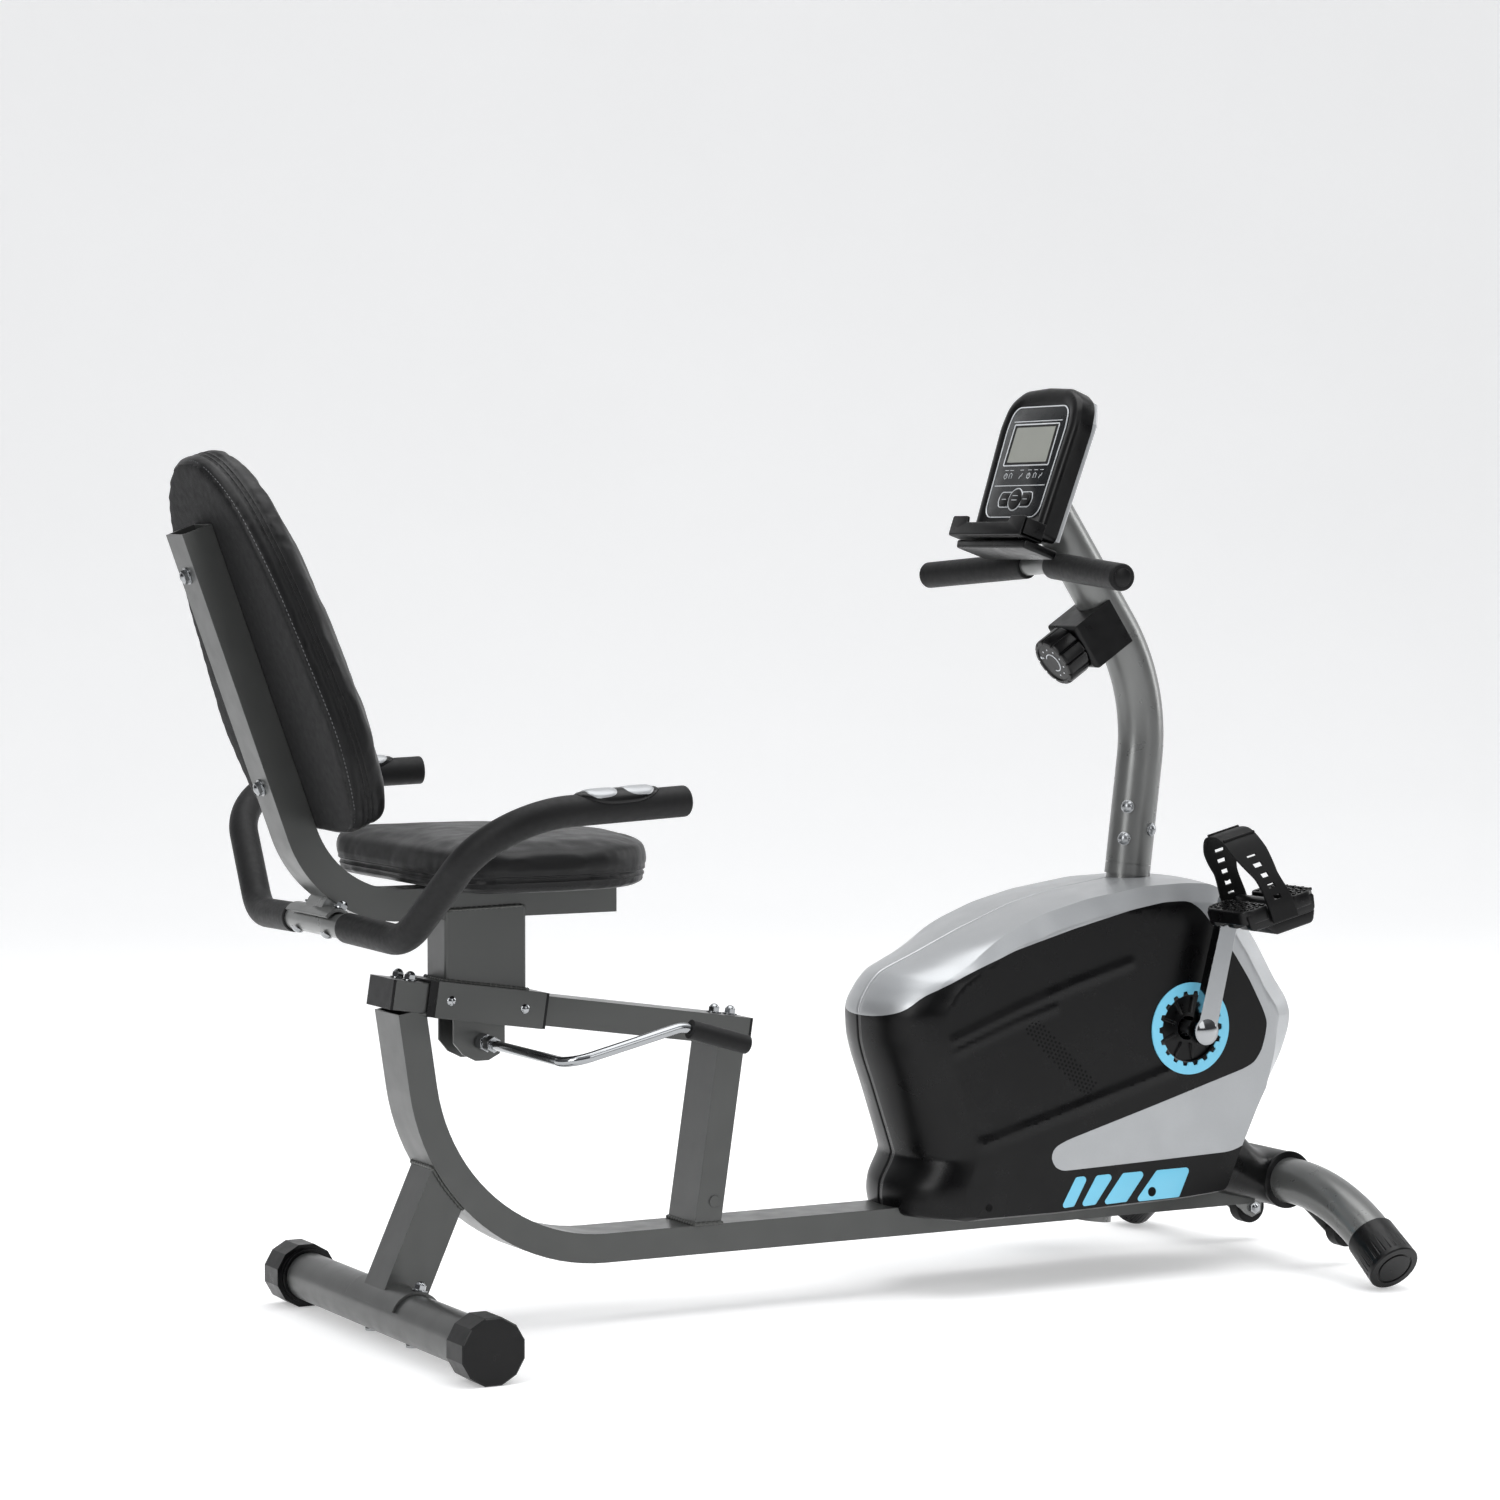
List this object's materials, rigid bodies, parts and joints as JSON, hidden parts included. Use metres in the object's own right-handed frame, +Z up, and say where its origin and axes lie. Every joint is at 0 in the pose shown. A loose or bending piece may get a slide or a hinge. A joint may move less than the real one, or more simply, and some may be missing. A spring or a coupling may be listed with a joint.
{
  "type": "recumbent exercise bike",
  "caption": "Recumbent exercise bike with a sliding padded seat, side handle bars, pulse grips, belt-driven flywheel in a closed cover, strapped pedals and a small console on a bent mast.",
  "frame": {"origin": "on the floor, under the middle of the overall length and width", "axes": "+X forward from the seat towards the pedals and console, +Y to the rider's left, +Z up"},
  "size_m": [1.3471, 0.6772, 0.9649],
  "materials": {
    "frame_paint": "semi-gloss gunmetal metallic powder coat",
    "cover_black": "satin moulded plastic with a silver painted upper band",
    "silver_plastic": "silver painted plastic, satin",
    "black_plastic": "fine textured black plastic",
    "blue_trim": "light blue satin plastic",
    "chrome_steel": "polished plated steel",
    "zinc_steel": "zinc plated steel",
    "vinyl": "black grained vinyl with sewn channels",
    "foam_rubber": "black closed cell foam, matte",
    "tyre_rubber": "black moulded rubber",
    "iron": "machined cast iron",
    "screen_glass": "tinted display window",
    "board_green": "circuit board laminate",
    "alloy": "satin alloy",
    "tube_silver": "silver grey powder coat"
  },
  "bodies": {
    "frame": {"main_frame": "frame_paint", "rear_leg": "frame_paint", "rear_stabilizer": "frame_paint", "rear_end_caps": "black_plastic", "frame_bolts": "chrome_steel", "front_stabilizer": "frame_paint", "front_end_caps": "black_plastic", "front_support_post": "frame_paint", "seat_rail": "frame_paint", "rail_end_caps": "black_plastic", "upright_tube": "frame_paint", "mast": "frame_paint", "mast_bolts": "black_plastic", "console_handlebar": "tube_silver", "handlebar_foam_grips": "foam_rubber", "console_front_housing": "black_plastic", "console_rear_housing": "silver_plastic", "console_lens": "screen_glass", "console_circuit_board": "board_green", "console_tray": "black_plastic", "tension_housing": "black_plastic", "tension_cable": "tyre_rubber", "cover_right": "cover_black", "cover_left": "cover_black", "crank_trim_rings": "blue_trim", "bottom_bracket_shell": "frame_paint", "crank_bearings": "zinc_steel", "drive_belt": "tyre_rubber", "flywheel_axle": "zinc_steel", "flywheel_brackets": "frame_paint", "magnet_pivot": "frame_paint"},
    "seat": {"seat_carriage": "frame_paint", "carriage_bushings": "black_plastic", "seat_post": "frame_paint", "seat_back_frame": "frame_paint", "seat_cushion": "vinyl", "back_cushion": "vinyl", "seat_bolts": "chrome_steel", "seat_handle": "tube_silver", "handle_foam_grips": "foam_rubber", "pulse_sensors": "black_plastic", "handle_clamp": "tube_silver"},
    "lever": {"adjust_lever": "chrome_steel", "lever_grip": "foam_rubber"},
    "lock": {"lock_block": "black_plastic"},
    "crank": {"crank_axle": "zinc_steel", "crank_arms": "chrome_steel", "drive_pulley": "alloy"},
    "pedal_r": {"pedal_right": "black_plastic", "pedal_strap_right": "tyre_rubber"},
    "pedal_l": {"pedal_left": "black_plastic", "pedal_strap_left": "tyre_rubber"},
    "flywheel": {"flywheel": "iron"},
    "knob": {"tension_knob": "black_plastic"},
    "magnet": {"magnet_bracket": "black_plastic"},
    "wheel_r": {"transport_wheel_right": "tyre_rubber"},
    "wheel_l": {"transport_wheel_left": "tyre_rubber"},
    "btn_r": {"button_right": "black_plastic"},
    "btn_c": {"button_center": "black_plastic"},
    "btn_l": {"button_left": "black_plastic"}
  },
  "joints": [
    {"name": "seat_slide", "type": "slide", "parent": "frame", "child": "seat", "axis": [0.989, 0, -0.1478], "range_m": [0, 0.19]},
    {"name": "lever_hinge", "type": "hinge", "parent": "seat", "child": "lever", "pos_m": [-0.36113, 0, 0.298], "axis": [0, -1, 0], "range_deg": [0, 25]},
    {"name": "lock_slide", "type": "slide", "parent": "seat", "child": "lock", "axis": [-0.1478, 0, -0.989], "range_m": [0, 0.003]},
    {"name": "crank_spin", "type": "hinge", "parent": "frame", "child": "crank", "pos_m": [0.45297, 0, 0.2725], "axis": [0, 1, 0], "continuous": true},
    {"name": "pedal_right_spin", "type": "hinge", "parent": "crank", "child": "pedal_r", "pos_m": [0.48708, 0, 0.40931], "axis": [0, 1, 0], "continuous": true},
    {"name": "pedal_left_spin", "type": "hinge", "parent": "crank", "child": "pedal_l", "pos_m": [0.41886, 0, 0.13569], "axis": [0, 1, 0], "continuous": true},
    {"name": "flywheel_spin", "type": "hinge", "parent": "frame", "child": "flywheel", "pos_m": [0.25827, 0, 0.226], "axis": [0, 1, 0], "continuous": true},
    {"name": "knob_turn", "type": "hinge", "parent": "frame", "child": "knob", "pos_m": [0.35358, 0, 0.68336], "axis": [-0.832, 0, -0.5548], "range_deg": [0, 270]},
    {"name": "magnet_swing", "type": "hinge", "parent": "frame", "child": "magnet", "pos_m": [0.14827, 0, 0.1185], "axis": [0, 1, 0], "range_deg": [0, 1.35]},
    {"name": "wheel_right_spin", "type": "hinge", "parent": "frame", "child": "wheel_r", "pos_m": [0.65427, 0, 0.0385], "axis": [0, 1, 0], "continuous": true},
    {"name": "wheel_left_spin", "type": "hinge", "parent": "frame", "child": "wheel_l", "pos_m": [0.65427, 0, 0.0385], "axis": [0, 1, 0], "continuous": true},
    {"name": "button_right_press", "type": "slide", "parent": "frame", "child": "btn_r", "axis": [0.9455, 0, -0.3256], "range_m": [0, 0.001], "stiffness_N_per_m": 300, "springref_m": -0.0005},
    {"name": "button_center_press", "type": "slide", "parent": "frame", "child": "btn_c", "axis": [0.9455, 0, -0.3256], "range_m": [0, 0.001], "stiffness_N_per_m": 300, "springref_m": -0.0005},
    {"name": "button_left_press", "type": "slide", "parent": "frame", "child": "btn_l", "axis": [0.9455, 0, -0.3256], "range_m": [0, 0.001], "stiffness_N_per_m": 300, "springref_m": -0.0005}
  ],
  "couplings": [
    {"joint": "lock_slide", "follows": "lever_hinge", "m_per_rad": 0.006875},
    {"joint": "flywheel_spin", "follows": "crank_spin", "ratio": 5},
    {"joint": "magnet_swing", "follows": "knob_turn", "ratio": 0.005}
  ]
}
